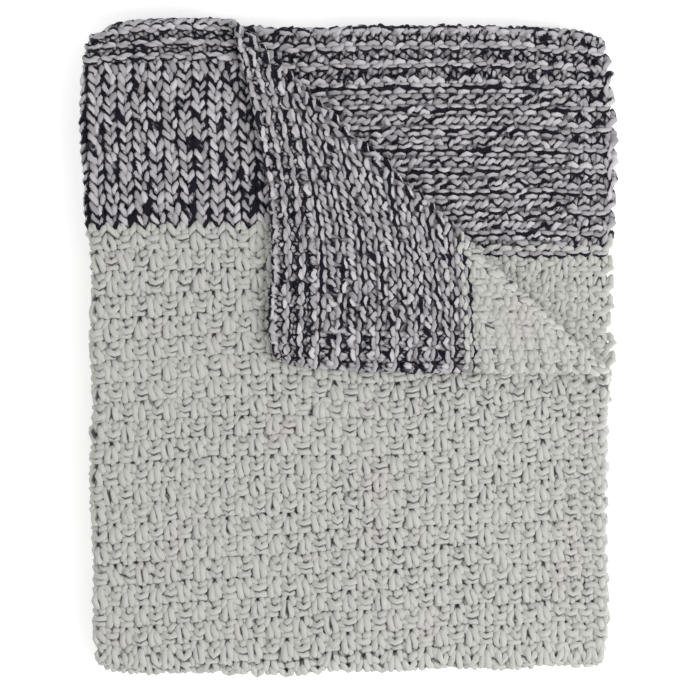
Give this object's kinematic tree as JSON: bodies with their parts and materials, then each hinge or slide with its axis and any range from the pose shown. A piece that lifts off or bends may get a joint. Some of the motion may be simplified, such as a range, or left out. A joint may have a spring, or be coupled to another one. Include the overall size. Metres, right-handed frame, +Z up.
{
  "type": "folded knitted wool blanket",
  "caption": "Chunky hand-knitted wool blanket folded in quarters, with one top corner turned down to show its wrong side.",
  "frame": {"origin": "under the middle of the folded blanket's bounding box, on the surface that it rests on", "axes": "+Z up; +Y from the lower fold to the open end edges; +X from the side fold to the open side edges"},
  "size_m": [0.4148, 0.51, 0.0506],
  "materials": {
    "wool": "matt, slightly fuzzy single-ply wool, undyed, with a band flecked by a thin black strand"
  },
  "bodies": {
    "root": {"blanket": "wool"}
  },
  "joints": []
}
